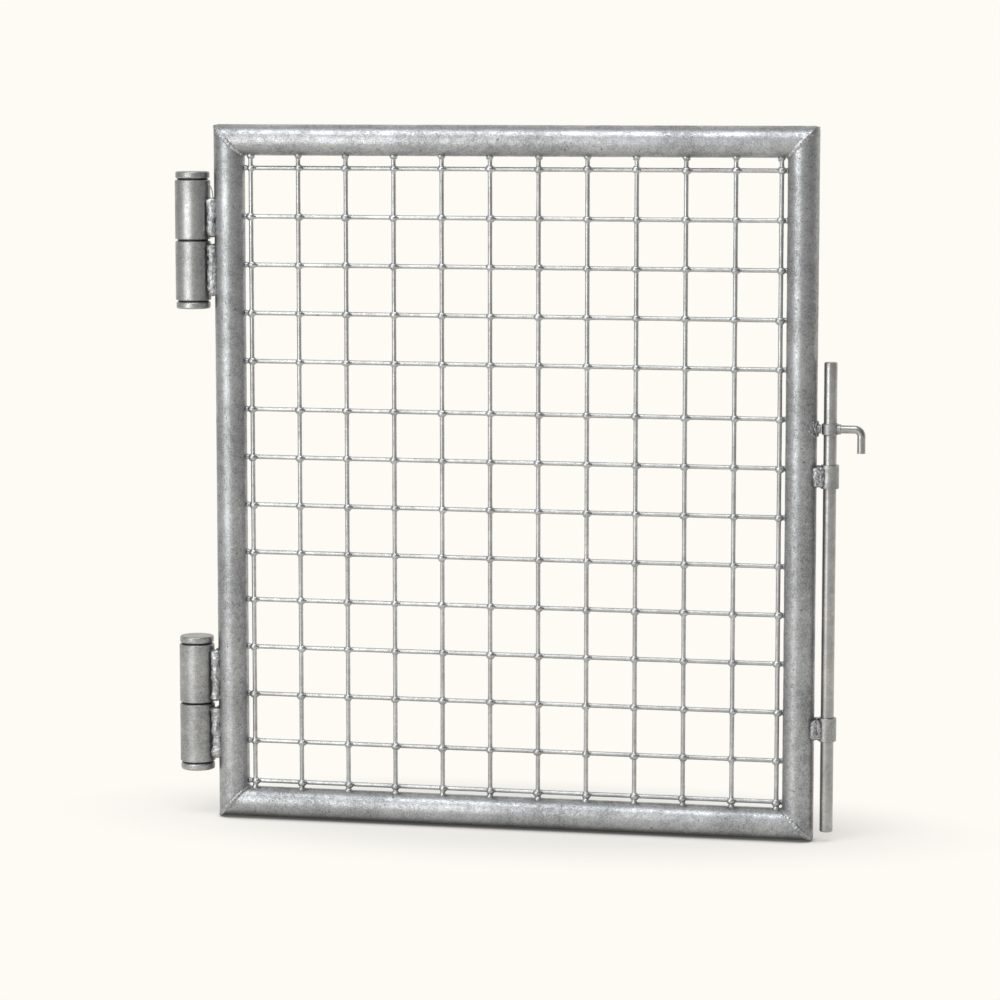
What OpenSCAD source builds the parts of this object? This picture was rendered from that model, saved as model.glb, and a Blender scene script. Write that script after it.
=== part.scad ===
// Galvanised tube-framed mesh gate with two barrel hinges and a drop bolt.
// The origin is on the axis of the hinge pins, on the foot of the lower hinge.
// +X runs from the hinges to the bolt, -Y is the front and +Z is up.

/* [Leaf] */
// Width of the leaf over its tubes
leaf_w = 940; // [700:10:1300]
// Height of the leaf over its tubes
leaf_h = 1085; // [800:5:1600]
// Outer diameter of the frame tube
tube_od = 48.3; // [38:0.1:60.3]
// Wall of the frame tube
tube_wall = 2.9; // [2:0.1:5]
// Radius of the outer corners of the frame
corner_r = 7; // [4:0.5:9]

/* [Mesh] */
// Spacing of the upright wires, centre to centre
column_pitch = 75.5; // [40:0.5:100]
// Spacing of the cross wires, centre to centre
row_pitch = 74.75; // [40:0.25:100]
// From the hinge stile across to the first upright wire
first_margin = 11; // [8:1:40]
// From the latch stile back to the last upright wire
last_margin = 8.5; // [8:0.5:40]
// Diameter of the wire
wire_d = 7; // [4:0.5:8]
// From the top rail down to the first cross wire
top_margin = 19; // [12:1:40]
// From the bottom rail up to the last cross wire
bottom_margin = 8.5; // [8:0.5:40]
// How far a wire sinks into the one it crosses
wire_bite = 0.4; // [0.2:0.1:1]

/* [Hinges] */
// Outer diameter of a knuckle
knuckle_od = 55; // [44:1:60]
// Length of a knuckle
knuckle_len = 91.5; // [60:0.5:110]
// Diameter of the hinge pin
pin_d = 28; // [16:1:32]
// Diameter of the cap on each end of the pin
cap_d = 53; // [40:0.5:60]
// Thickness of the cap on each end of the pin
cap_t = 11; // [8:0.5:16]
// Radius on the edges of a cap
cap_edge_r = 3; // [1:0.5:3.5]
// Diameter of the washers that show in the grooves
washer_d = 47; // [36:1:50]
// Groove between a knuckle and a cap
end_groove = 2.2; // [1.5:0.1:4]
// Groove between the two knuckles
middle_groove = 3; // [1.5:0.1:5]
// Gap between the knuckles and the hinge stile
hinge_gap = 8; // [6:0.5:12]
// From the end of the leaf to the nearer hinge
hinge_end = 73; // [40:1:120]
// Length of the shorter hinge weld
short_weld = 62; // [30:1:80]
// Length of the other hinge welds
long_weld = 82; // [40:1:86]
// Width of a hinge weld from front to back
hinge_weld_w = 30; // [16:1:32]

/* [Drop bolt] */
// Diameter of the bolt
rod_d = 20; // [12:1:22]
// Length of the bolt
rod_len = 717; // [600:1:900]
// From the bottom of the leaf to the tip of the raised bolt
rod_rise = 15; // [5:1:40]
// Gap between the bolt and the latch stile
rod_gap = 9.5; // [9:0.5:20]
// Outer diameter of the guides
guide_od = 28; // [24:0.5:32]
// Length of a guide
guide_len = 36; // [20:1:60]
// From the bottom of the leaf to the lower guide
lower_guide_z = 155; // [80:1:250]
// From the bottom of the leaf to the upper guide
upper_guide_z = 541; // [400:1:545]
// Width of a guide weld from front to back
guide_weld_w = 22; // [12:1:24]
// Length of a guide weld
guide_weld_len = 32; // [16:1:36]

/* [Handle] */
// Outer diameter of the handle collar
collar_od = 26; // [24:0.5:30]
// Height of the handle collar
collar_h = 17.5; // [12:0.5:26]
// From the bottom of the leaf to the middle of the raised collar
collar_z = 631; // [610:1:680]
// Diameter of the bar of the handle
handle_d = 12.5; // [8:0.5:14]
// Reach of the handle from the axis of the bolt
handle_reach = 47; // [38:1:80]
// Drop of the handle's leg below its arm
handle_drop = 36; // [24:1:60]
// Bend radius of the handle, on its centre line
handle_bend_r = 10; // [7:0.5:16]
// Diameter of the rest stub on the latch stile
stub_d = 18; // [12:1:20]

/* [Welds and fits] */
// Width of the weld along a mitre
mitre_weld_w = 7; // [4:0.5:10]
// Height of a mitre weld above the tube
mitre_weld_h = 1.3; // [0.6:0.1:3]
// Radial clearance of the hinge pin in a knuckle
pin_clear = 0.08; // [0.02:0.01:0.1]
// Clearance of a washer from what turns on it
washer_clear = 0.2; // [0.1:0.05:0.4]
// Radial clearance of the bolt in its guides
guide_clear = 0.5; // [0.2:0.1:1]
// Radial clearance of the bolt in the handle collar
collar_clear = 0.05; // [0.02:0.01:0.1]
// Gap between the rest stub and the collar
stub_clear = 1.2; // [0.5:0.1:2]
// Gap between a welded piece and the round face it sits on
seat = 0.05; // [0.02:0.01:0.1]

/* [Hidden] */
$fn = 64;
HINGES = ["lower", "upper"];

galvanised = [0.66, 0.67, 0.67];
fresh_zinc = [0.74, 0.75, 0.76];
weld_metal = [0.78, 0.79, 0.79];
dark_steel = [0.16, 0.16, 0.16];

tube_r = tube_od / 2;
knuckle_r = knuckle_od / 2;
pin_r = pin_d / 2;
rod_r = rod_d / 2;
guide_r = guide_od / 2;
collar_r = collar_od / 2;
handle_r = handle_d / 2;

// The leaf's outline in the hinge's frame
leaf_left = knuckle_r + hinge_gap;
leaf_right = leaf_left + leaf_w;
leaf_bottom = -hinge_end;
leaf_top = leaf_bottom + leaf_h;
hinge_stile_x = leaf_left + tube_r;
latch_stile_x = leaf_right - tube_r;
top_rail_z = leaf_top - tube_r;
bottom_rail_z = leaf_bottom + tube_r;

// A hinge from its foot up
lower_knuckle_z = cap_t + end_groove;
upper_knuckle_z = lower_knuckle_z + knuckle_len + middle_groove;
head_cap_z = upper_knuckle_z + knuckle_len + end_groove;
hinge_len = head_cap_z + cap_t;
upper_hinge_z = leaf_top - hinge_end - hinge_len;
knuckle_edge = 1.2;
weld_inset = 3;

// The wires are laid out across from the hinge stile and down from the top rail,
// and the last one closes what is left of the width or the height
first_column_x = leaf_left + tube_od + first_margin;
last_column_x = leaf_right - tube_od - last_margin;
first_row_z = leaf_top - tube_od - top_margin;
last_row_z = leaf_bottom + tube_od + bottom_margin;
least_gap = 2 * wire_d;
column_gaps = floor((last_column_x - first_column_x - least_gap) / column_pitch);
row_gaps = floor((first_row_z - last_row_z - least_gap) / row_pitch);
column_xs = [for (i = [0 : column_gaps]) first_column_x + i * column_pitch, last_column_x];
row_zs = [for (i = [0 : row_gaps]) first_row_z - i * row_pitch, last_row_z];
bar_sides = 8;
bar_flat = wire_d / 2 * cos(180 / bar_sides);
wire_y = bar_flat - wire_bite / 2;

// The bolt and what carries it
rod_x = leaf_right + rod_gap + rod_r;
rod_z = leaf_bottom + rod_rise;
rod_edge = 1.2;
guide_edge = 0.8;
collar_edge = 1.5;
collar_mid_z = leaf_bottom + collar_z;
socket_d = handle_d + 3;
socket_end = collar_r + 3;
stub_end_x = rod_x - collar_r - stub_clear;
stub_neck_d = stub_d - 4;
stub_neck_len = 3;
stub_weld_d = stub_d + 7;
stub_weld_end_x = leaf_right + 1.6;

// A round bar with chamfered ends, standing on the XY plane
module chamfered_bar(r, h, edge) {
    cylinder(r1 = r - edge, r2 = r, h = edge);
    translate([0, 0, edge]) cylinder(r = r, h = h - 2 * edge);
    translate([0, 0, h - edge]) cylinder(r1 = r, r2 = r - edge, h = edge);
}

// A round disc with rounded edges, standing on the XY plane
module rounded_disc(r, h, edge_r) {
    cylinder(r = r - edge_r, h = h);
    translate([0, 0, edge_r]) cylinder(r = r, h = h - 2 * edge_r);
    for (z = [edge_r, h - edge_r])
        translate([0, 0, z])
            rotate_extrude() translate([r - edge_r, 0]) circle(r = edge_r, $fn = 32);
}

// An outline drawn in X and Z, made as thick as is needed along Y
module upright_slab(thickness) {
    rotate([90, 0, 0]) linear_extrude(thickness, center = true) children();
}

// The leaf's outline with its round corners, larger all round by grow
module leaf_outline(grow = 0) {
    r = corner_r + grow;
    translate([leaf_left - grow, leaf_bottom - grow + r])
        square([leaf_w + 2 * grow, leaf_h + 2 * grow - 2 * r]);
    translate([leaf_left - grow + r, leaf_bottom - grow])
        square([leaf_w + 2 * grow - 2 * r, leaf_h + 2 * grow]);
    for (x = [leaf_left + corner_r, leaf_right - corner_r],
         z = [leaf_bottom + corner_r, leaf_top - corner_r])
        translate([x, z]) circle(r = r);
}

// A solid bar on the axis of a stile
module stile_bar(x, r) {
    translate([x, 0, leaf_bottom - tube_od]) cylinder(r = r, h = leaf_h + 2 * tube_od);
}

// A solid bar on the axis of a rail
module rail_bar(z, r) {
    translate([leaf_left - tube_od, 0, z])
        rotate([0, 90, 0]) cylinder(r = r, h = leaf_w + 2 * tube_od);
}

// A tube cut to its mitres and to the leaf's round corners
module mitred(outline) {
    intersection() {
        difference() {
            children(0);
            children(1);
        }
        upright_slab(2 * tube_od) intersection() {
            leaf_outline();
            polygon(outline);
        }
    }
}

module stile(x, outer_x, inner_x) {
    color(galvanised) mitred([
        [outer_x, leaf_bottom], [outer_x, leaf_top],
        [inner_x, leaf_top - tube_od], [inner_x, leaf_bottom + tube_od]
    ]) {
        stile_bar(x, tube_r);
        stile_bar(x, tube_r - tube_wall);
    }
}

module rail(z, outer_z, inner_z) {
    color(galvanised) mitred([
        [leaf_left, outer_z], [leaf_right, outer_z],
        [leaf_right - tube_od, inner_z], [leaf_left + tube_od, inner_z]
    ]) {
        rail_bar(z, tube_r);
        rail_bar(z, tube_r - tube_wall);
    }
}

// The band of weld round one mitre. side_x and side_z are 1 at the leaf's
// left and bottom, and -1 at its right and top
module mitre_weld(stile_x, rail_z, side_x, side_z) {
    corner = [side_x > 0 ? leaf_left : leaf_right, side_z > 0 ? leaf_bottom : leaf_top];
    half_w = mitre_weld_w / sqrt(2);
    start = corner - mitre_weld_w * [side_x, side_z];
    end = corner + tube_od * [side_x, side_z];
    outer_r = tube_r + mitre_weld_h;
    color(weld_metal) intersection() {
        upright_slab(2 * tube_od) leaf_outline(mitre_weld_h);
        union() {
            intersection() {
                difference() {
                    stile_bar(stile_x, outer_r);
                    stile_bar(stile_x, tube_r + seat);
                }
                upright_slab(2 * tube_od) polygon([
                    start, end, end + [0, side_z * half_w], start + [0, side_z * half_w]
                ]);
            }
            intersection() {
                difference() {
                    rail_bar(rail_z, outer_r);
                    rail_bar(rail_z, tube_r + seat);
                }
                upright_slab(2 * tube_od) polygon([
                    start, end, end + [side_x * half_w, 0], start + [side_x * half_w, 0]
                ]);
            }
        }
    }
}

// A wire from one end to the other along Z, with flats to the front and back
module wire(length) {
    rotate([0, 0, 180 / bar_sides]) cylinder(d = wire_d, h = length, $fn = bar_sides);
}

module mesh_panel() {
    color(fresh_zinc) difference() {
        union() {
            for (x = column_xs)
                translate([x, -wire_y, bottom_rail_z]) wire(top_rail_z - bottom_rail_z);
            for (z = row_zs)
                translate([hinge_stile_x, wire_y, z])
                    rotate([0, 90, 0]) wire(latch_stile_x - hinge_stile_x);
        }
        stile_bar(hinge_stile_x, tube_r + seat);
        stile_bar(latch_stile_x, tube_r + seat);
        rail_bar(top_rail_z, tube_r + seat);
        rail_bar(bottom_rail_z, tube_r + seat);
    }
}

module hinge_pin(base) {
    color(dark_steel) translate([0, 0, base + cap_t])
        cylinder(r = pin_r, h = head_cap_z - cap_t);
}

module hinge_cap(base) {
    color(galvanised) translate([0, 0, base]) rounded_disc(cap_d / 2, cap_t, cap_edge_r);
}

module hinge_washer(base, thickness) {
    color(dark_steel) translate([0, 0, base]) difference() {
        cylinder(d = washer_d, h = thickness);
        translate([0, 0, -1]) cylinder(r = pin_r + washer_clear, h = thickness + 2);
    }
}

module hinge_knuckle(base) {
    color(galvanised) translate([0, 0, base]) difference() {
        chamfered_bar(knuckle_r, knuckle_len, knuckle_edge);
        translate([0, 0, -1]) cylinder(r = pin_r + pin_clear, h = knuckle_len + 2);
    }
}

// Weld that fills the valley between two upright round bars
module valley_weld(x_a, r_a, x_b, r_b, width, base, length) {
    color(weld_metal) translate([0, 0, base]) linear_extrude(length) difference() {
        translate([x_a, -width / 2]) square([x_b - x_a, width]);
        translate([x_a, 0]) circle(r = r_a + seat);
        translate([x_b, 0]) circle(r = r_b + seat);
    }
}

module hinge_weld(base, length) {
    valley_weld(0, knuckle_r, hinge_stile_x, tube_r, hinge_weld_w, base, length);
}

module bolt_rod() {
    color(galvanised) translate([rod_x, 0, rod_z]) chamfered_bar(rod_r, rod_len, rod_edge);
}

module handle_collar() {
    color(galvanised) translate([rod_x, 0, collar_mid_z - collar_h / 2]) difference() {
        union() {
            chamfered_bar(collar_r, collar_h, collar_edge);
            translate([0, 0, collar_h / 2])
                rotate([0, 90, 0]) cylinder(d = socket_d, h = socket_end);
        }
        translate([0, 0, -1]) cylinder(r = rod_r + collar_clear, h = collar_h + 2);
    }
}

// An arm out from the collar, a bend and a leg that hangs from it
module bolt_handle() {
    color(galvanised) translate([rod_x, 0, collar_mid_z]) {
        translate([socket_end, 0, 0]) rotate([0, 90, 0])
            cylinder(r = handle_r, h = handle_reach - handle_bend_r - socket_end);
        translate([handle_reach - handle_bend_r, 0, -handle_bend_r])
            rotate([90, 0, 0]) rotate_extrude(angle = 90)
                translate([handle_bend_r, 0]) circle(r = handle_r);
        translate([handle_reach, 0, -handle_drop])
            cylinder(r = handle_r, h = handle_drop - handle_bend_r);
    }
}

module rest_stub() {
    color(galvanised) difference() {
        translate([latch_stile_x, 0, collar_mid_z]) rotate([0, 90, 0]) {
            cylinder(d = stub_neck_d, h = stub_end_x - latch_stile_x);
            cylinder(d = stub_d, h = stub_end_x - stub_neck_len - latch_stile_x);
        }
        stile_bar(latch_stile_x, tube_r + seat);
    }
}

module rest_stub_weld() {
    color(weld_metal) difference() {
        translate([latch_stile_x, 0, collar_mid_z]) rotate([0, 90, 0])
            cylinder(d = stub_weld_d, h = stub_weld_end_x - latch_stile_x);
        translate([latch_stile_x, 0, collar_mid_z]) rotate([0, 90, 0])
            cylinder(d = stub_d + 2 * seat, h = tube_od);
        stile_bar(latch_stile_x, tube_r + seat);
    }
}

module guide(z) {
    color(galvanised) translate([rod_x, 0, leaf_bottom + z]) difference() {
        chamfered_bar(guide_r, guide_len, guide_edge);
        translate([0, 0, -1]) cylinder(r = rod_r + guide_clear, h = guide_len + 2);
    }
}

module guide_weld(z) {
    valley_weld(latch_stile_x, tube_r, rod_x, guide_r, guide_weld_w,
        leaf_bottom + z + (guide_len - guide_weld_len) / 2, guide_weld_len);
}

stile(hinge_stile_x, leaf_left, leaf_left + tube_od);  // hinge_stile
stile(latch_stile_x, leaf_right, leaf_right - tube_od);  // latch_stile
rail(top_rail_z, leaf_top, leaf_top - tube_od);  // top_rail
rail(bottom_rail_z, leaf_bottom, leaf_bottom + tube_od);  // bottom_rail
mesh_panel();
mitre_weld(hinge_stile_x, top_rail_z, 1, -1);  // mitre_weld_top_left
mitre_weld(latch_stile_x, top_rail_z, -1, -1);  // mitre_weld_top_right
mitre_weld(hinge_stile_x, bottom_rail_z, 1, 1);  // mitre_weld_bottom_left
mitre_weld(latch_stile_x, bottom_rail_z, -1, 1);  // mitre_weld_bottom_right

for (hinge = HINGES) {
    base = hinge == "upper" ? upper_hinge_z : 0;
    upper_len = hinge == "upper" ? short_weld : long_weld;
    hinge_pin(base);
    hinge_cap(base);
    hinge_cap(base + head_cap_z);
    hinge_washer(base + cap_t, end_groove - washer_clear);
    hinge_washer(base + lower_knuckle_z + knuckle_len, middle_groove);
    hinge_washer(base + head_cap_z - end_groove + washer_clear, end_groove - washer_clear);
    hinge_knuckle(base + lower_knuckle_z);
    hinge_knuckle(base + upper_knuckle_z);
    hinge_weld(base + lower_knuckle_z + knuckle_len - weld_inset - long_weld, long_weld);
    hinge_weld(base + upper_knuckle_z + weld_inset, upper_len);
}

bolt_rod();
handle_collar();
bolt_handle();
rest_stub();
rest_stub_weld();
guide(upper_guide_z);  // upper_guide
guide(lower_guide_z);  // lower_guide
guide_weld(upper_guide_z);  // upper_guide_weld
guide_weld(lower_guide_z);  // lower_guide_weld
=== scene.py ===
import math

import bpy
import numpy as np
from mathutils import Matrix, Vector


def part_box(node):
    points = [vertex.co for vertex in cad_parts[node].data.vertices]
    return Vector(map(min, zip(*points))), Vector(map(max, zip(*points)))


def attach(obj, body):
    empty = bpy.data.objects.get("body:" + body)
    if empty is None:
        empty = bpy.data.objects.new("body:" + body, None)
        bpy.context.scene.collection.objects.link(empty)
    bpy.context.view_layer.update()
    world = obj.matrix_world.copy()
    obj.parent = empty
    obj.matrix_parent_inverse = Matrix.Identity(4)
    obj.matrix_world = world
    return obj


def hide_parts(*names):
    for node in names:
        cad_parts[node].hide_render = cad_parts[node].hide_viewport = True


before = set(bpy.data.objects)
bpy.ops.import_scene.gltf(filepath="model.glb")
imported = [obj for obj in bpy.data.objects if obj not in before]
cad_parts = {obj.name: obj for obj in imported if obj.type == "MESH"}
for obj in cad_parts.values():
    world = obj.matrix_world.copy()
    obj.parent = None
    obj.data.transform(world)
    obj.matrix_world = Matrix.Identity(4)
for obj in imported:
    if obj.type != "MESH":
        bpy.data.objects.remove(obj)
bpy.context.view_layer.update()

mm = 0.001
tau = 2 * math.pi


# ---- where the leaf's pieces are, read from the CAD nodes ----

def nodeBox(node):
    low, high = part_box(node)
    return np.array(low), np.array(high)


stileLow, stileHigh = nodeBox("hinge_stile")
latchLow, latchHigh = nodeBox("latch_stile")
topLow, topHigh = nodeBox("top_rail")
bottomLow, bottomHigh = nodeBox("bottom_rail")
tubeRadius = (stileHigh[1] - stileLow[1]) / 2
leafLeft, leafRight = stileLow[0], latchHigh[0]
leafBottom, leafTop = bottomLow[2], topHigh[2]
stileX, latchX = leafLeft + tubeRadius, leafRight - tubeRadius
topZ, bottomZ = leafTop - tubeRadius, leafBottom + tubeRadius


# ---- numpy helpers ----

def waveNoise(points, size, seed, count=9):
    # Sum of cosine waves in random directions, each about one size long, scaled to about -1..1
    rng = np.random.default_rng(seed)
    directions = rng.normal(size=(count, 3))
    directions /= np.linalg.norm(directions, axis=1, keepdims=True)
    waves = directions * (tau / size) * rng.uniform(0.6, 1.6, (count, 1))
    return np.cos(points @ waves.T + rng.uniform(0, tau, count)).sum(-1) / math.sqrt(2 * count)


def skinVolume(points, quads, tris):
    # A closed skin's volume is the sum of the tetrahedra from the origin to each triangle
    faces = np.concatenate([quads[:, [0, 1, 2]], quads[:, [0, 2, 3]], tris])
    a, b, c = points[faces[:, 0]], points[faces[:, 1]], points[faces[:, 2]]
    return np.einsum("ij,ij->i", a, np.cross(b, c)).sum()


def ringSkin(rings, joined=False, poles=None):
    # Rows of points joined row to row and round each row. The ends close on a pole each,
    # or the last row joins the first
    rows, sides = rings.shape[:2]
    row = np.arange(rows if joined else rows - 1)[:, None] * sides
    next_ = (row + sides) % (rows * sides)
    here = np.arange(sides)[None, :]
    there = (here + 1) % sides
    quads = np.stack([row + here, row + there, next_ + there, next_ + here], -1).reshape(-1, 4)
    points = rings.reshape(-1, 3)
    tris = np.zeros((0, 3), int)
    if not joined:
        if poles is None:
            poles = (rings[0].mean(0), rings[-1].mean(0))
        first, last = len(points), len(points) + 1
        points = np.concatenate([points, np.array(poles)])
        side = np.arange(sides)
        turn = (side + 1) % sides
        tail = (rows - 1) * sides
        startFan = np.stack([turn, side, np.full(sides, first)], -1)
        endFan = np.stack([tail + side, tail + turn, np.full(sides, last)], -1)
        tris = np.concatenate([startFan, endFan])
    if skinVolume(points, quads, tris) < 0:
        quads, tris = quads[:, ::-1], tris[:, ::-1]
    return points, quads, tris


def sweepRings(path, across, outward, width, height, sides, phase=0.0):
    # Each ring is centre + width cos(a) across + height sin(a) outward
    angle = np.linspace(0, tau, sides, endpoint=False) + phase
    width = np.broadcast_to(width, path.shape[0])[:, None, None]
    height = np.broadcast_to(height, path.shape[0])[:, None, None]
    return (path[:, None, :]
            + width * np.cos(angle)[None, :, None] * across[:, None, :]
            + height * np.sin(angle)[None, :, None] * outward[:, None, :])


def makePiece(name, skins, material, body, replaced=()):
    # Skins are laid end to end into one mesh
    counts = np.cumsum([0] + [len(points) for points, _, _ in skins])
    points = np.concatenate([skin[0] for skin in skins])
    quads = np.concatenate([skin[1] + start for skin, start in zip(skins, counts)])
    tris = np.concatenate([skin[2] + start for skin, start in zip(skins, counts)])
    mesh = bpy.data.meshes.new(name)
    mesh.from_pydata(points.tolist(), [], quads.tolist() + tris.tolist())
    mesh.polygons.foreach_set("use_smooth", [True] * len(mesh.polygons))
    mesh.update()
    piece = bpy.data.objects.new(name, mesh)
    bpy.context.scene.collection.objects.link(piece)
    mesh.materials.append(material)
    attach(piece, body)
    if replaced:
        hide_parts(*replaced)
    return piece


# ---- shader groups ----

def newGroup(name, inputs, outputs):
    group = bpy.data.node_groups.new(name, "ShaderNodeTree")
    for label, kind, value in inputs:
        socket = group.interface.new_socket(name=label, in_out="INPUT", socket_type=kind)
        if value is not None:
            socket.default_value = value
    for label, kind in outputs:
        group.interface.new_socket(name=label, in_out="OUTPUT", socket_type=kind)
    return group, group.nodes.new("NodeGroupInput"), group.nodes.new("NodeGroupOutput")


def addNode(tree, kind, links=None, **settings):
    # Makes a node, sets its properties, then feeds its inputs from sockets or plain values
    node = tree.nodes.new(kind)
    for key, value in settings.items():
        setattr(node, key, value)
    for key, value in (links or {}).items():
        if isinstance(value, bpy.types.NodeSocket):
            tree.links.new(value, node.inputs[key])
        else:
            node.inputs[key].default_value = value
    return node


def addMath(tree, operation, a, b=0.0, clamp=False):
    return addNode(tree, "ShaderNodeMath", {0: a, 1: b}, operation=operation, use_clamp=clamp).outputs[0]


def addRamp(tree, value, low, high, toLow=0.0, toHigh=1.0):
    # Smooth step from low to high
    return addNode(tree, "ShaderNodeMapRange",
                   {"Value": value, "From Min": low, "From Max": high, "To Min": toLow, "To Max": toHigh},
                   interpolation_type="SMOOTHSTEP").outputs[0]


def makeMottle():
    # Zinc mottle: grains of a few millimetres, crystals of the zinc and slow clouds
    group, inp, out = newGroup("zincMottle", [
        ("Vector", "NodeSocketVector", None), ("Grain", "NodeSocketFloat", 420.0),
        ("Crystal", "NodeSocketFloat", 150.0), ("Cloud", "NodeSocketFloat", 14.0),
    ], [("Mottle", "NodeSocketFloat"), ("Crystals", "NodeSocketFloat"), ("Clouds", "NodeSocketFloat"),
        ("Height", "NodeSocketFloat")])
    vector = inp.outputs["Vector"]
    grain = addNode(group, "ShaderNodeTexNoise",
                    {"Vector": vector, "Scale": inp.outputs["Grain"], "Detail": 3.0, "Roughness": 0.6})
    warp = addNode(group, "ShaderNodeTexNoise", {"Vector": vector, "Scale": 260.0, "Detail": 1.0})
    shift = addNode(group, "ShaderNodeVectorMath", {0: warp.outputs["Color"], 1: (0.006, 0.006, 0.006)},
                    operation="MULTIPLY")
    warped = addNode(group, "ShaderNodeVectorMath", {0: vector, 1: shift.outputs[0]}, operation="ADD")
    crystal = addNode(group, "ShaderNodeTexVoronoi",
                      {"Vector": warped.outputs[0], "Scale": inp.outputs["Crystal"]})
    tone = addNode(group, "ShaderNodeSeparateColor", {0: crystal.outputs["Color"]})
    cloud = addNode(group, "ShaderNodeTexNoise",
                    {"Vector": vector, "Scale": inp.outputs["Cloud"], "Detail": 4.0, "Roughness": 0.55})
    grainStep = addRamp(group, grain.outputs["Fac"], 0.34, 0.66)
    cloudStep = addRamp(group, cloud.outputs["Fac"], 0.32, 0.68)
    group.links.new(grainStep, out.inputs["Mottle"])
    group.links.new(tone.outputs[0], out.inputs["Crystals"])
    group.links.new(cloudStep, out.inputs["Clouds"])
    height = addMath(group, "ADD", addMath(group, "MULTIPLY", tone.outputs[1], 0.35), grain.outputs["Fac"])
    group.links.new(height, out.inputs["Height"])
    return group


def makePitsAndCreviceShade():
    # Pits, which on the welds are also painted shade of the bead's crevices: the middle of a few cells. Scratches: the
    # middle of a few cells stretched long and thin
    group, inp, out = newGroup("zincPitsAndCreviceShade", [
        ("Vector", "NodeSocketVector", None), ("Spacing", "NodeSocketFloat", 70.0),
        ("Amount", "NodeSocketFloat", 0.35), ("Scratches", "NodeSocketFloat", 0.3),
    ], [("PitsAndCreviceShade", "NodeSocketFloat"), ("Scratches", "NodeSocketFloat")])
    vector = inp.outputs["Vector"]
    warp = addNode(group, "ShaderNodeTexNoise", {"Vector": vector, "Scale": 180.0, "Detail": 2.0})
    shift = addNode(group, "ShaderNodeVectorMath", {0: warp.outputs["Color"], 1: (0.004, 0.004, 0.004)},
                    operation="MULTIPLY")
    warped = addNode(group, "ShaderNodeVectorMath", {0: vector, 1: shift.outputs[0]}, operation="ADD")
    cells = addNode(group, "ShaderNodeTexVoronoi", {"Vector": warped.outputs[0], "Scale": inp.outputs["Spacing"]})
    pick = addNode(group, "ShaderNodeSeparateColor", {0: cells.outputs["Color"]})
    chosen = addMath(group, "LESS_THAN", pick.outputs[0], inp.outputs["Amount"])
    near = addRamp(group, cells.outputs["Distance"], 0.05, 0.14, 1.0, 0.0)
    group.links.new(addMath(group, "MULTIPLY", near, chosen), out.inputs["PitsAndCreviceShade"])
    marks = []
    for turn, stretch in (((0.3, 0.5, 0.2), (1, 9, 9)), ((0.9, -0.4, 1.1), (9, 1, 9))):
        turned = addNode(group, "ShaderNodeMapping", {"Vector": warped.outputs[0], "Rotation": turn, "Scale": stretch})
        lines = addNode(group, "ShaderNodeTexVoronoi", {"Vector": turned.outputs[0], "Scale": 34.0})
        select = addNode(group, "ShaderNodeSeparateColor", {0: lines.outputs["Color"]})
        some = addMath(group, "LESS_THAN", select.outputs[0], inp.outputs["Scratches"])
        thin = addRamp(group, lines.outputs["Distance"], 0.03, 0.10, 1.0, 0.0)
        marks.append(addMath(group, "MULTIPLY", thin, some))
    group.links.new(addMath(group, "MAXIMUM", *marks), out.inputs["Scratches"])
    return group


mottleGroup = makeMottle()
pitsAndCreviceShadeGroup = makePitsAndCreviceShade()


def zincMaterial(name, dark, light, metallic=1.0, roughness=(0.34, 0.52), grain=420.0, crystal=150.0,
                 cloud=14.0, mottle=0.45, pitsAndCreviceShade=0.35, scratches=0.3, pitSpacing=70.0, bump=0.25, bumpDepth=0.0004):
    # Zinc runs from a dark to a light tone by grain, crystal and cloud; pits and scratches darken it. On the welds the
    # pits are partly painted shade: dark specks standing in for the shade in the bead's crevices
    material = bpy.data.materials.new(name)
    material.use_nodes = True
    tree = material.node_tree
    shader = tree.nodes["Principled BSDF"]
    place = addNode(tree, "ShaderNodeTexCoord").outputs["Object"]
    zinc = addNode(tree, "ShaderNodeGroup", node_tree=mottleGroup)
    marks = addNode(tree, "ShaderNodeGroup", node_tree=pitsAndCreviceShadeGroup)
    for node in (zinc, marks):
        tree.links.new(place, node.inputs["Vector"])
    zinc.inputs["Grain"].default_value = grain
    zinc.inputs["Crystal"].default_value = crystal
    zinc.inputs["Cloud"].default_value = cloud
    marks.inputs["Spacing"].default_value = pitSpacing
    marks.inputs["Amount"].default_value = pitsAndCreviceShade
    marks.inputs["Scratches"].default_value = scratches
    grainTone = addMath(tree, "MULTIPLY", zinc.outputs["Mottle"], mottle)
    crystalTone = addMath(tree, "MULTIPLY", zinc.outputs["Crystals"], (1 - mottle) * 0.45)
    cloudTone = addMath(tree, "MULTIPLY", zinc.outputs["Clouds"], (1 - mottle) * 0.55)
    tone = addMath(tree, "ADD", addMath(tree, "ADD", grainTone, crystalTone), cloudTone, clamp=True)
    colour = addNode(tree, "ShaderNodeMix", {0: tone, 6: (*dark, 1), 7: (*light, 1)}, data_type="RGBA")
    spots = addMath(tree, "MAXIMUM", addMath(tree, "MULTIPLY", marks.outputs["PitsAndCreviceShade"], 0.75),
                    addMath(tree, "MULTIPLY", marks.outputs["Scratches"], 0.45))
    stained = addNode(tree, "ShaderNodeMix", {0: spots, 6: colour.outputs[2], 7: (0.10, 0.10, 0.095, 1)},
                      data_type="RGBA")
    tree.links.new(stained.outputs[2], shader.inputs["Base Color"])
    rough = addRamp(tree, tone, 0.0, 1.0, roughness[1], roughness[0])
    tree.links.new(rough, shader.inputs["Roughness"])
    shader.inputs["Metallic"].default_value = metallic
    height = addMath(tree, "SUBTRACT", zinc.outputs["Height"], addMath(tree, "MULTIPLY", spots, 1.5))
    relief = addNode(tree, "ShaderNodeBump", {"Strength": bump, "Distance": bumpDepth, "Height": height})
    tree.links.new(relief.outputs["Normal"], shader.inputs["Normal"])
    return material


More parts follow.
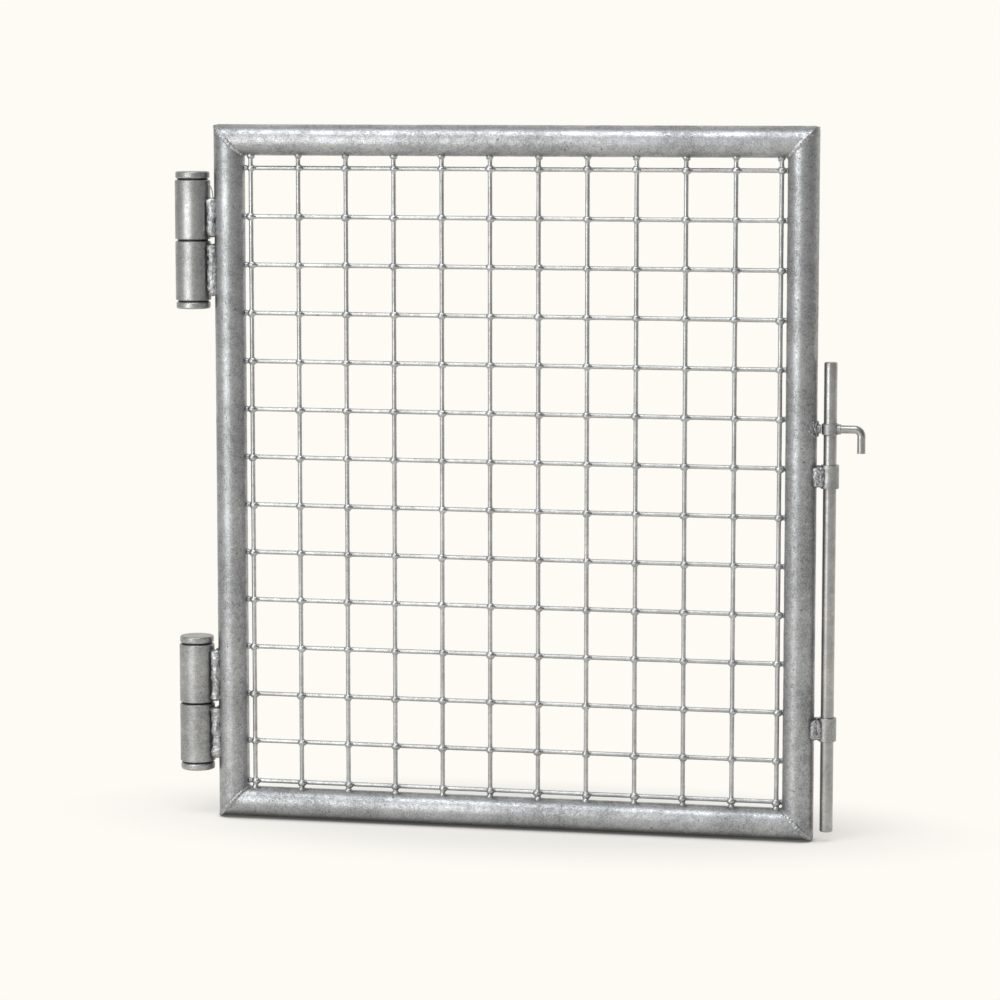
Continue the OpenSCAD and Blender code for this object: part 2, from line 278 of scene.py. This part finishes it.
tubeZinc = zincMaterial("tubeZinc", (0.205, 0.21, 0.212), (0.54, 0.55, 0.56), roughness=(0.36, 0.54), pitsAndCreviceShade=0.6,
                        scratches=0.5, bump=0.34)
wireZinc = zincMaterial("wireZinc", (0.30, 0.305, 0.305), (0.60, 0.61, 0.61), roughness=(0.30, 0.44),
                        grain=600.0, pitsAndCreviceShade=0.15, scratches=0.0, bump=0.15)
fittingZinc = zincMaterial("fittingZinc", (0.235, 0.235, 0.23), (0.52, 0.525, 0.52), roughness=(0.34, 0.50),
                           grain=480.0, bump=0.30)
rodZinc = zincMaterial("rodZinc", (0.28, 0.28, 0.275), (0.50, 0.50, 0.49), roughness=(0.26, 0.38), grain=600.0,
                       mottle=0.35, pitsAndCreviceShade=0.12, scratches=0.15)
# The weld's many small dark pits are painted shade, standing in for the shade in the lumpy bead's crevices
weldZinc = zincMaterial("weldZinc", (0.20, 0.205, 0.21), (0.56, 0.565, 0.57), roughness=(0.32, 0.50), grain=300.0,
                        pitsAndCreviceShade=0.55, scratches=0.25, pitSpacing=170.0, bump=0.40, bumpDepth=0.0008)
darkSteel = zincMaterial("darkSteel", (0.02, 0.02, 0.02), (0.05, 0.05, 0.05), metallic=0.6, roughness=(0.5, 0.7),
                         pitsAndCreviceShade=0.0, scratches=0.0)
print("materials ready")


# ---- frame tubes ----

tubeSettings = {
    "sides": 96, "step": 6 * mm, "cornerRadius": 7 * mm,
    "waviness": 0.10 * mm, "wavinessSize": 90 * mm, "runs": 0.12 * mm, "runSize": 22 * mm,
}


def roundCorners(points, radius):
    # A point beyond a corner's arc is pulled straight towards the arc's centre, onto the arc
    points = points.copy()
    for x, signX in ((leafLeft + radius, -1), (leafRight - radius, 1)):
        for z, signZ in ((leafBottom + radius, -1), (leafTop - radius, 1)):
            dx, dz = points[..., 0] - x, points[..., 2] - z
            reach = np.hypot(dx, dz)
            outside = (dx * signX > 0) & (dz * signZ > 0) & (reach > radius)
            scale = np.where(outside, radius / np.maximum(reach, 1e-9), 1.0)
            points[..., 0] = np.where(outside, x + dx * scale, points[..., 0])
            points[..., 2] = np.where(outside, z + dz * scale, points[..., 2])
    return points


def tubeRings(centre, along, settings, seed):
    # Round the tube: centre + radius (cos a, sin a). Along it: evenly spread between the two mitres,
    # whose ends run at 45 degrees with the distance from the leaf's edge
    angle = np.linspace(0, tau, settings["sides"], endpoint=False)
    other = 2 if along == 0 else 0
    start, end = (leafLeft, leafRight) if along == 0 else (leafBottom, leafTop)
    middle = (leafLeft + leafRight) / 2 if other == 0 else (leafBottom + leafTop) / 2
    edge = (leafLeft if centre < middle else leafRight) if other == 0 else (leafBottom if centre < middle else leafTop)
    across = centre + tubeRadius * np.cos(angle)
    inset = np.abs(across - edge)
    count = int((end - start) / settings["step"])
    share = np.linspace(0, 1, count)[:, None]
    rings = np.zeros((count, settings["sides"], 3))
    rings[..., along] = (start + inset)[None, :] * (1 - share) + (end - inset)[None, :] * share
    rings[..., other] = across[None, :]
    rings[..., 1] = tubeRadius * np.sin(angle)[None, :]
    wave = (settings["waviness"] * waveNoise(rings, settings["wavinessSize"], seed)
            + settings["runs"] * waveNoise(rings, settings["runSize"], seed + 1))
    fade = np.sin(np.pi * share) ** 0.25  # the ends meet the other tube exactly
    out = np.zeros_like(rings)
    out[..., other], out[..., 1] = np.cos(angle)[None, :], np.sin(angle)[None, :]
    rings = rings + out * ((wave - settings["waviness"] - settings["runs"]) * fade)[..., None]
    return roundCorners(rings, settings["cornerRadius"])


for pieceName, centre, along, node, seed in (
        ("hingeStileTube", stileX, 2, "hinge_stile", 11), ("latchStileTube", latchX, 2, "latch_stile", 12),
        ("topRailTube", topZ, 0, "top_rail", 13), ("bottomRailTube", bottomZ, 0, "bottom_rail", 14)):
    makePiece(pieceName, [ringSkin(tubeRings(centre, along, tubeSettings, seed))],
              tubeZinc, "leaf", (node,))
print("frame tubes ready")


# ---- mitre welds ----

mitreSettings = {
    "halfWidth": 4.7 * mm, "height": 1.7 * mm, "cornerShare": 0.30, "ripple": 6.5 * mm, "rippleDepth": 0.42,
    "lump": 0.55 * mm, "lumpSize": 9 * mm, "rings": 300, "sides": 18, "sink": 0.15 * mm,
}


def mitreBead(signX, signZ, settings, seed):
    # The bead's path is the ellipse where two tubes meet at 45 degrees. Its section is a flat ellipse,
    # and its height rises and falls like laid-over coins
    angle = np.linspace(0, tau, settings["rings"], endpoint=False)
    edgeX, edgeZ = (leafLeft if signX > 0 else leafRight), (leafBottom if signZ > 0 else leafTop)
    inset = tubeRadius - tubeRadius * np.cos(angle)
    path = np.stack([edgeX + signX * inset, tubeRadius * np.sin(angle), edgeZ + signZ * inset], -1)
    path = roundCorners(path, tubeSettings["cornerRadius"])
    outward = np.stack([-signX * np.cos(angle) / math.sqrt(2), np.sin(angle),
                        -signZ * np.cos(angle) / math.sqrt(2)], -1)
    outward /= np.linalg.norm(outward, axis=1, keepdims=True)
    across = np.broadcast_to(np.array([signX, 0, -signZ]) / math.sqrt(2), path.shape)
    length = np.concatenate([[0], np.cumsum(np.linalg.norm(np.diff(path, axis=0), axis=1))])
    turns = round(length[-1] / settings["ripple"])
    phase = (length / length[-1] * turns + 0.35 * waveNoise(path, 20 * mm, seed)) % 1.0
    coin = 1 - settings["rippleDepth"] * np.abs(2 * phase - 1) ** 5
    wobble = settings["lump"] * waveNoise(path, settings["lumpSize"], seed + 1)
    width = settings["halfWidth"] * (0.92 + 0.12 * waveNoise(path, 9 * mm, seed + 2)) * (0.93 + 0.07 * coin)
    height = settings["height"] * coin + 0.35 * np.abs(wobble)
    fade = np.clip(inset / (0.45 * tubeRadius), 0, 1)  # the bead thins out towards the leaf's corner
    fade = settings["cornerShare"] + (1 - settings["cornerShare"]) * fade * fade * (3 - 2 * fade)
    width, height = width * fade, height * fade
    path = path + across * (0.5 * wobble[:, None]) - outward * settings["sink"]
    rings = sweepRings(path, across, outward, width, height, settings["sides"])
    return ringSkin(rings, joined=True)


mitres = {"mitre_weld_top_left": (1, -1), "mitre_weld_top_right": (-1, -1),
          "mitre_weld_bottom_left": (1, 1), "mitre_weld_bottom_right": (-1, 1)}
for seed, (node, signs) in enumerate(mitres.items()):
    makePiece(node.replace("mitre_weld", "mitreBead"), [mitreBead(*signs, mitreSettings, 40 + 3 * seed)],
              weldZinc, "leaf", (node,))
print("mitre welds ready")


# ---- mesh ----

meshSettings = {
    "columnPitch": 75.5 * mm, "rowPitch": 74.75 * mm, "leastGap": 14 * mm, "wireRadius": 3.5 * mm,
    "firstMargin": 11 * mm, "lastMargin": 8.5 * mm, "topMargin": 19 * mm, "bottomMargin": 8.5 * mm,
    "overlap": 0.8 * mm, "sides": 12, "knotHeight": 1.2 * mm, "knotLength": 4.0 * mm, "flare": 2.3 * mm,
    "flareLength": 3.2 * mm,
    "roughness": 0.12 * mm, "roughnessSize": 11 * mm,
    "blob": (7.2 * mm, 5.8 * mm, 6.2 * mm), "bead": (5.8 * mm, 5.4 * mm, 4.8 * mm),
}
meshLow, meshHigh = nodeBox("mesh_panel")


def wireStations(crossings, low, high):
    # Close rings near each crossing and near the ends, few between them
    near = np.array([-8, -6, -4.5, -3.2, -2, -1, 0, 1, 2, 3.2, 4.5, 6, 8]) * mm
    between = (crossings[1:] + crossings[:-1])[:, None] / 2 + np.array([-14, 0, 14])[None, :] * mm
    ends = np.concatenate([low + np.array([0, 1, 2, 3.2, 4.5, 6.5]) * mm, high - np.array([0, 1, 2, 3.2, 4.5, 6.5]) * mm])
    stations = np.unique(np.round(np.concatenate([(crossings[:, None] + near).ravel(), between.ravel(), ends]), 6))
    stations = stations[(stations >= low) & (stations <= high)]
    keep = np.concatenate([[True], np.diff(stations) > 0.4 * mm])
    return stations[keep]


def wireRings(along, fixed, depth, crossings, low, high, settings, seed, flares=(1.0, 1.0)):
    # The radius is the wire's own, swelling like a bell curve at every crossing and at both ends
    stations = wireStations(crossings, low, high)
    rng = np.random.default_rng(seed)
    path = np.zeros((len(stations), 3))
    path[:, along] = stations
    path[:, 2 - along] = fixed
    path[:, 1] = depth
    distance = (stations[:, None] - crossings[None, :]) / settings["knotLength"]
    knots = (np.exp(-distance ** 2) * rng.uniform(0.75, 1.2, len(crossings))).sum(1)
    ends = (flares[0] * np.exp(-((stations - low) / settings["flareLength"]) ** 2)
            + flares[1] * np.exp(-((high - stations) / settings["flareLength"]) ** 2))
    radius = settings["wireRadius"] + settings["knotHeight"] * knots + settings["flare"] * ends
    angle = np.linspace(0, tau, settings["sides"], endpoint=False)
    ring = np.zeros((len(stations), settings["sides"], 3))
    ring[..., 2 - along] = np.cos(angle)
    ring[..., 1] = np.sin(angle)
    points = path[:, None, :] + ring * radius[:, None, None]
    rough = settings["roughness"] * waveNoise(points, settings["roughnessSize"], seed)
    return points + ring * rough[..., None]


def blobs(centres, size, seed, rows=6, sides=10, jitter=0.14):
    # Spheres squashed to three half sizes, each a little different, with rings from pole to pole
    rng = np.random.default_rng(seed)
    polar = np.linspace(0, math.pi, rows + 2)[1:-1]
    angle = np.linspace(0, tau, sides, endpoint=False)
    unit = np.stack([np.sin(polar)[:, None] * np.cos(angle), np.sin(polar)[:, None] * np.sin(angle),
                     np.repeat(np.cos(polar)[:, None], sides, 1)], -1)
    skins = []
    for centre in centres:
        half = np.array(size) * rng.uniform(1 - jitter, 1 + jitter, 3)
        shifted = centre + np.array(size) * rng.uniform(-0.12, 0.12, 3)
        poles = (shifted + (0, 0, half[2]), shifted - (0, 0, half[2]))
        skins.append(ringSkin(shifted + unit * half, poles=poles))
    return skins


def layOut(first, last, pitch, leastGap):
    # Steps of one pitch from the first wire towards the last, which closes what is left
    steps = int((abs(last - first) - leastGap) / pitch)
    return np.append(first + np.sign(last - first) * pitch * np.arange(steps + 1), last)


def meshPiece(settings):
    radius, overlap = settings["wireRadius"], settings["overlap"]
    frontY, backY = -(radius - overlap / 2), radius - overlap / 2
    columnXs = layOut(stileX + tubeRadius + settings["firstMargin"], latchX - tubeRadius - settings["lastMargin"],
                      settings["columnPitch"], settings["leastGap"])
    rowZs = layOut(topZ - tubeRadius - settings["topMargin"], bottomZ + tubeRadius + settings["bottomMargin"],
                   settings["rowPitch"], settings["leastGap"])[::-1]
    sink = math.sqrt(tubeRadius ** 2 - frontY ** 2) - 0.6 * mm
    skins = []
    for i, x in enumerate(columnXs):
        skins.append(ringSkin(wireRings(2, x, frontY, rowZs, bottomZ + sink, topZ - sink, settings, 100 + i,
                                        (0.9, 1.15))))
    for i, z in enumerate(rowZs):
        skins.append(ringSkin(wireRings(0, z, backY, columnXs, stileX + sink, latchX - sink, settings, 200 + i,
                                        (0.6, 0.6))))
    crossings = np.array([(x, frontY, z) for x in columnXs for z in rowZs])
    skins += blobs(crossings, settings["blob"], 301, rows=7, sides=12, jitter=0.09)
    tops = np.array([(x, frontY - 0.6 * mm, topZ - sink - 0.4 * mm) for x in columnXs])
    feet = np.array([(x, frontY - 1.2 * mm, bottomZ + sink) for x in columnXs])
    skins += blobs(tops, settings["bead"], 302, rows=8, sides=12)
    skins += blobs(feet, settings["bead"], 303, rows=8, sides=12)
    sideBeads = np.array([(x, backY, z) for z in rowZs for x in (stileX + sink, latchX - sink)])
    skins += blobs(sideBeads, (3.4 * mm, 4.2 * mm, 4.4 * mm), 304)
    drips = np.array([(x + (4.2 * mm if i % 3 == 0 else -4.0 * mm), frontY, topZ - sink - 2.6 * mm)
                      for i, x in enumerate(columnXs) if i % 3 != 1])
    skins += blobs(drips, (2.3 * mm, 2.3 * mm, 2.8 * mm), 305)
    return makePiece("meshWires", skins, wireZinc, "leaf", ("mesh_panel",))


meshPiece(meshSettings)
print("mesh ready")


# ---- lumpy fillet welds ----

def lumpyBead(path, across, outward, halfWidth, height, settings, seed):
    # An ellipse carried along the path. Its two half sizes swell and shrink with the lumps, taper at the ends,
    # and its skin is dented by finer waves
    count = len(path)
    share = np.linspace(0, 1, count)
    taper = np.clip(np.minimum(share, 1 - share) * count / settings["taperRings"], 0, 1) ** 0.5
    slow = waveNoise(path, settings["lumpSize"], seed)
    slower = waveNoise(path, settings["lumpSize"] * 2.2, seed + 1)
    width = halfWidth * (1 + 0.16 * slow + 0.12 * slower) * taper
    tall = height * (1 + 0.22 * slow - 0.12 * slower) * taper
    path = path + across * (0.18 * halfWidth * waveNoise(path, settings["lumpSize"] * 1.4, seed + 2))[:, None]
    rings = sweepRings(path, across, outward, width, tall, settings["sides"])
    centre = path[:, None, :]
    away = rings - centre
    size = np.linalg.norm(away, axis=-1, keepdims=True)
    dent = (settings["dent"] * waveNoise(rings, settings["dentSize"], seed + 3)
            + 0.5 * settings["dent"] * waveNoise(rings, settings["dentSize"] / 2, seed + 4))
    rings = rings + away / np.maximum(size, 1e-6) * (dent * taper[:, None])[..., None]
    return ringSkin(rings)


valleySettings = {
    "sides": 28, "step": 0.8 * mm, "taperRings": 5, "lumpSize": 13 * mm, "dent": 0.60 * mm, "dentSize": 6.5 * mm,
    # one row a bead: along X from the valley's middle, out from the bars' plane, half width and height
    "lowerHinge": {"lower": [(3.3, 13.5, 8.2, 5.2)], "upper": [(2.4, 13.5, 7.4, 5.2)]},
    "upperHinge": {"lower": [(2.6, 13.5, 7.4, 5.2)], "upper": [(2.4, 13.5, 7.0, 5.2)]},
    "guides": [(-2.0, 13.6, 6.4, 4.6), (4.2, 11.4, 5.2, 4.4)],
}


def valleyBeads(node, xLeft, rLeft, xRight, rRight, rows, settings, seed):
    # Upright beads in front and behind, in the valley between two round bars, and a core between them
    low, high = nodeBox(node)
    middle = (xLeft + rLeft + xRight - rRight) / 2
    count = int((high[2] - low[2]) / settings["step"])
    skins = []
    for side in (-1, 1):
        for number, row in enumerate(rows):
            shift, front, halfWidth, height = np.array(row) * mm
            path = np.zeros((count, 3))
            path[:, 0] = middle + shift
            path[:, 1] = side * front
            path[:, 2] = np.linspace(low[2], high[2], count)
            across = np.broadcast_to(np.array([1.0, 0, 0]), path.shape)
            outward = np.broadcast_to(np.array([0, float(side), 0]), path.shape)
            skins.append(lumpyBead(path, across, outward, halfWidth, height, settings, seed + 10 * side + 3 * number))
    core = np.zeros((12, 3))
    core[:, 0] = middle
    core[:, 2] = np.linspace(low[2] + 4 * mm, high[2] - 4 * mm, 12)
    across = np.broadcast_to(np.array([1.0, 0, 0]), core.shape)
    outward = np.broadcast_to(np.array([0, 1.0, 0]), core.shape)
    gap = (xRight - rRight - xLeft - rLeft) / 2
    skins.append(ringSkin(sweepRings(core, across, outward, gap + 0.8 * mm, rows[0][1] * mm, 24)))
    return skins


def thinLoop(start, reach, drop, radius, sides=8, count=24):
    # A quarter of an ellipse in X and Z, from the start out by reach and down by drop, swept by a small circle
    turn = np.linspace(0, math.pi / 2, count)
    path = start + np.stack([reach * np.sin(turn), 0 * turn, drop * (np.cos(turn) - 1)], -1)
    outward = np.stack([np.sin(turn) * drop, 0 * turn, np.cos(turn) * reach], -1)
    outward /= np.linalg.norm(outward, axis=1, keepdims=True)
    across = np.broadcast_to(np.array([0.0, 1.0, 0]), path.shape)
    return ringSkin(sweepRings(path, across, outward, radius, radius, sides))


knuckleLow, knuckleHigh = nodeBox("lower_hinge_lower_knuckle")
knuckleRadius = (knuckleHigh[1] - knuckleLow[1]) / 2
for number, hinge in enumerate(("lower", "upper")):
    for step, place in enumerate(("lower", "upper")):
        node = f"{hinge}_hinge_{place}_weld"
        skins = valleyBeads(node, 0.0, knuckleRadius, stileX, tubeRadius, valleySettings[f"{hinge}Hinge"][place],
                            valleySettings, 400 + 50 * number + 20 * step)
        if node == "upper_hinge_upper_weld":
            weldTop = nodeBox(node)[1][2]
            loopStart = np.array([knuckleRadius - 1.5 * mm, -6 * mm, weldTop + 20 * mm])
            skins.append(thinLoop(loopStart, 8.5 * mm, 22 * mm, 0.8 * mm))
        makePiece(f"{hinge}Hinge{place.capitalize()}Bead", skins, weldZinc, "leaf", (node,))

rodLow, rodHigh = nodeBox("bolt_rod")
guideLow, guideHigh = nodeBox("upper_guide")
rodX = (rodLow[0] + rodHigh[0]) / 2
guideRadius = (guideHigh[1] - guideLow[1]) / 2
for number, place in enumerate(("lower", "upper")):
    node = f"{place}_guide_weld"
    makePiece(f"{place}GuideBead",
              valleyBeads(node, latchX, tubeRadius, rodX, guideRadius, valleySettings["guides"], valleySettings,
                          600 + 20 * number),
              weldZinc, "leaf", (node,))

stubSettings = {
    "ringRadius": 10.0 * mm, "beadRadius": 2.5 * mm, "lumpSize": 8 * mm, "lump": 0.5 * mm, "rings": 90, "sides": 14,
    # splashes on the stile: degrees round from the bolt towards the front, up from the stub's axis, size
    "splashes": [(34, 6, 2.4), (41, -7, 2.2), (47, 3, 1.8), (30, -10, 2.0), (36, 11, 1.6), (52, -3, 1.5)],
}


def saddleBead(settings, height, seed):
    # A ring round the stub's foot: y and z run round a circle and x lies on the stile's round face
    turn = np.linspace(0, tau, settings["rings"], endpoint=False)
    y, z = settings["ringRadius"] * np.cos(turn), settings["ringRadius"] * np.sin(turn)
    path = np.stack([latchX + np.sqrt(tubeRadius ** 2 - y ** 2), y, height + z], -1)
    across = np.stack([0 * turn, np.cos(turn), np.sin(turn)], -1)
    outward = np.broadcast_to(np.array([1.0, 0, 0]), path.shape)
    size = settings["beadRadius"] + settings["lump"] * waveNoise(path, settings["lumpSize"], seed)
    return ringSkin(sweepRings(path, across, outward, size, size, settings["sides"]), joined=True)


stubLow, stubHigh = nodeBox("rest_stub")
stubZ = (stubLow[2] + stubHigh[2]) / 2
splashes = []
for number, (turn, up, size) in enumerate(stubSettings["splashes"]):
    a = math.radians(turn)
    centre = np.array([[latchX + tubeRadius * math.cos(a), -tubeRadius * math.sin(a), stubZ + up * mm]])
    splashes += blobs(centre, (size * mm, size * mm, 1.3 * size * mm), 700 + number, rows=7, sides=12)
makePiece("restStubBead", [saddleBead(stubSettings, stubZ, 690)] + splashes, weldZinc, "leaf",
          ("rest_stub_weld",))
print("fillet welds ready")


# ---- CAD nodes that keep their shape ----

def setMaterial(node, material):
    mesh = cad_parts[node].data
    mesh.materials.clear()
    mesh.materials.append(material)


for hinge in ("lower", "upper"):
    for part in ("foot_cap", "head_cap", "lower_knuckle", "upper_knuckle"):
        setMaterial(f"{hinge}_hinge_{part}", fittingZinc)
    for part in ("pin", "foot_washer", "middle_washer", "head_washer"):
        setMaterial(f"{hinge}_hinge_{part}", darkSteel)
for node in ("upper_guide", "lower_guide", "rest_stub", "handle_collar"):
    setMaterial(node, fittingZinc)
for node in ("bolt_rod", "bolt_handle"):
    setMaterial(node, rodZinc)
print("CAD nodes finished")


# ---- camera ----

cameraSettings = {
    "azimuth": 11.96, "elevation": 6.75, "distance": 5.535, "aimLeft": 18.4 * mm, "aimHeight": 511.2 * mm,
    "lens": 129.6,
}


def makeCamera(settings):
    camera = bpy.data.objects.new("camera", bpy.data.cameras.new("camera"))
    bpy.context.scene.collection.objects.link(camera)
    azimuth, elevation = math.radians(settings["azimuth"]), math.radians(settings["elevation"])
    back = np.array([math.sin(azimuth) * math.cos(elevation), -math.cos(azimuth) * math.cos(elevation),
                     math.sin(elevation)])
    aim = np.array([(leafLeft + leafRight) / 2 - settings["aimLeft"], 0, leafBottom + settings["aimHeight"]])
    camera.location = aim + back * settings["distance"]
    camera.rotation_mode = "QUATERNION"
    camera.rotation_quaternion = Vector(-back).to_track_quat("-Z", "Y")
    camera.data.sensor_width = 36
    camera.data.lens = settings["lens"]
    camera.data.clip_end = 40
    bpy.context.scene.camera = camera


makeCamera(cameraSettings)


# ---- studio ----

studioSettings = {
    "paper": (0.991, 0.965, 0.915), "wallY": 3.2, "darkRoom": (0.19, 0.195, 0.20), "brightRoom": (0.52, 0.53, 0.54),
    "brightSide": (-0.62, -0.62, 0.48), "shadowShare": 0.62, "shadowReach": (0.80, 0.36), "floorTone": (0.80, 0.78, 0.75),
    # the last entry is how far the ambient occlusion of the floor's painted contact shadow reaches
    "paintedShadowReach": 0.055,
}
lampSettings = {
    "leftBox": {"azimuth": -28, "elevation": 8, "distance": 3.2, "size": (1.9, 2.8), "radiance": 2.9, "tint": (1, 1, 1)},
    "topBox": {"azimuth": -12, "elevation": 62, "distance": 3.2, "size": (2.8, 1.25), "radiance": 4.3,
               "tint": (0.97, 0.985, 1)},
}


def seenRay(tree):
    # 1 for camera, glossy and transmission rays
    path = addNode(tree, "ShaderNodeLightPath")
    seen = addMath(tree, "MAXIMUM", path.outputs["Is Camera Ray"], path.outputs["Is Glossy Ray"])
    return addMath(tree, "MAXIMUM", seen, path.outputs["Is Transmission Ray"])


def paperMaterial(name, settings, floor):
    # Plain paper for the lamps. To the camera and in reflections it is its own colour, and the floor
    # mixes in its lit shade near the object, so that the shadow shows. Close under the object it also gets a
    # painted contact shadow: a near-black glow mixed in where ambient occlusion finds the object near
    material = bpy.data.materials.new(name)
    material.use_nodes = True
    tree = material.node_tree
    tree.nodes.clear()
    out = addNode(tree, "ShaderNodeOutputMaterial")
    paper = (*settings["paper"], 1)
    plain = addNode(tree, "ShaderNodeBsdfDiffuse", {"Color": (*settings["floorTone"], 1)})
    glow = addNode(tree, "ShaderNodeEmission", {"Color": paper, "Strength": 1.0})
    shown = glow.outputs[0]
    if floor:
        lit = addNode(tree, "ShaderNodeBsdfDiffuse", {"Color": paper})
        place = addNode(tree, "ShaderNodeTexCoord").outputs["Object"]
        centred = addNode(tree, "ShaderNodeVectorMath",
                          {0: place, 1: (-(leafLeft + leafRight) / 2, -0.05, 0)}, operation="ADD")
        squashed = addNode(tree, "ShaderNodeVectorMath", {0: centred.outputs[0], 1: (1 / settings["shadowReach"][0], 1 / settings["shadowReach"][1], 0)},
                           operation="MULTIPLY")
        reach = addNode(tree, "ShaderNodeVectorMath", {0: squashed.outputs[0]}, operation="LENGTH")
        share = addRamp(tree, reach.outputs["Value"], 0.35, 1.0, settings["shadowShare"], 0.0)
        shown = addNode(tree, "ShaderNodeMixShader", {0: share, 1: glow.outputs[0], 2: lit.outputs[0]}).outputs[0]
        # Painted contact shadow: a near-black glow is mixed into the floor where ambient occlusion finds the object
        # close. Reflections in the metal show it too
        paintedShadowOcclusion = addNode(tree, "ShaderNodeAmbientOcclusion", {"Distance": settings["paintedShadowReach"]}, samples=12)
        paintedShadowMask = addRamp(tree, paintedShadowOcclusion.outputs["AO"], 0.15, 0.75, 0.85, 0.0)
        paintedShadowMask = addMath(tree, "MULTIPLY", paintedShadowMask, addRamp(tree, reach.outputs["Value"], 0.8, 1.1, 1.0, 0.0))
        dark = addNode(tree, "ShaderNodeEmission", {"Color": (0.02, 0.019, 0.018, 1), "Strength": 1.0})
        shown = addNode(tree, "ShaderNodeMixShader", {0: paintedShadowMask, 1: shown, 2: dark.outputs[0]}).outputs[0]
    mix = addNode(tree, "ShaderNodeMixShader", {0: seenRay(tree), 1: plain.outputs[0], 2: shown})
    if not floor:  # the wall is clear from behind, so that the back of the gate can be seen
        back = addNode(tree, "ShaderNodeNewGeometry").outputs["Backfacing"]
        clear = addNode(tree, "ShaderNodeBsdfTransparent")
        mix = addNode(tree, "ShaderNodeMixShader", {0: back, 1: mix.outputs[0], 2: clear.outputs[0]})
    tree.links.new(mix.outputs[0], out.inputs["Surface"])
    return material


def flatPiece(name, corners, material):
    mesh = bpy.data.meshes.new(name)
    mesh.from_pydata(corners, [], [(0, 1, 2, 3)])
    mesh.materials.append(material)
    piece = bpy.data.objects.new(name, mesh)
    bpy.context.scene.collection.objects.link(piece)
    return piece


floorZ = leafBottom - 0.0003
flatPiece("studioFloor", [(-6, -7, floorZ), (8, -7, floorZ), (8, studioSettings["wallY"], floorZ),
                          (-6, studioSettings["wallY"], floorZ)],
          paperMaterial("floorPaper", studioSettings, True))
flatPiece("studioWall", [(-1.6, studioSettings["wallY"], floorZ), (1.3, studioSettings["wallY"], floorZ),
                         (1.3, studioSettings["wallY"], 2.4), (-1.6, studioSettings["wallY"], 2.4)],
          paperMaterial("wallPaper", studioSettings, False))


def makeWorld(settings):
    world = bpy.data.worlds.new("studio")
    bpy.context.scene.world = world
    world.use_nodes = True
    tree = world.node_tree
    tree.nodes.clear()
    out = addNode(tree, "ShaderNodeOutputWorld")
    direction = addNode(tree, "ShaderNodeTexCoord").outputs["Generated"]
    facing = addNode(tree, "ShaderNodeVectorMath", {0: direction, 1: settings["brightSide"]}, operation="DOT_PRODUCT")
    share = addRamp(tree, facing.outputs["Value"], -0.1, 0.95)
    shade = addNode(tree, "ShaderNodeMix", {0: share, 6: (*settings["darkRoom"], 1), 7: (*settings["brightRoom"], 1)},
                    data_type="RGBA")
    room = addNode(tree, "ShaderNodeBackground", {"Color": shade.outputs[2], "Strength": 1.0})
    paper = addNode(tree, "ShaderNodeBackground", {"Color": (*settings["paper"], 1), "Strength": 1.0})
    path = addNode(tree, "ShaderNodeLightPath")
    mirrored = addMath(tree, "MAXIMUM", path.outputs["Is Glossy Ray"], path.outputs["Is Transmission Ray"])
    depth = addNode(tree, "ShaderNodeSeparateXYZ", {0: direction}).outputs["Y"]
    behind = addMath(tree, "MULTIPLY", mirrored, addRamp(tree, depth, 0.1, 0.5))
    seen = addMath(tree, "MAXIMUM", path.outputs["Is Camera Ray"], behind)
    mix = addNode(tree, "ShaderNodeMixShader", {0: seen, 1: room.outputs[0], 2: paper.outputs[0]})
    tree.links.new(mix.outputs[0], out.inputs["Surface"])


def makeLamp(name, azimuth, elevation, distance, size, radiance, tint):
    # Power is radiance times pi times the lamp's area
    lamp = bpy.data.lights.new(name, "AREA")
    lamp.shape = "RECTANGLE"
    lamp.size, lamp.size_y = size
    lamp.energy = radiance * math.pi * size[0] * size[1]
    lamp.color = tint
    holder = bpy.data.objects.new(name, lamp)
    bpy.context.scene.collection.objects.link(holder)
    a, e = math.radians(azimuth), math.radians(elevation)
    away = np.array([math.sin(a) * math.cos(e), -math.cos(a) * math.cos(e), math.sin(e)])
    aim = np.array([(leafLeft + leafRight) / 2, 0, (leafBottom + leafTop) / 2])
    holder.location = aim + away * distance
    holder.rotation_mode = "QUATERNION"
    holder.rotation_quaternion = Vector(-away).to_track_quat("-Z", "Y")


makeWorld(studioSettings)
for name, values in lampSettings.items():
    makeLamp(name, **values)
bpy.context.scene.view_settings.view_transform = "Standard"
print("studio ready")
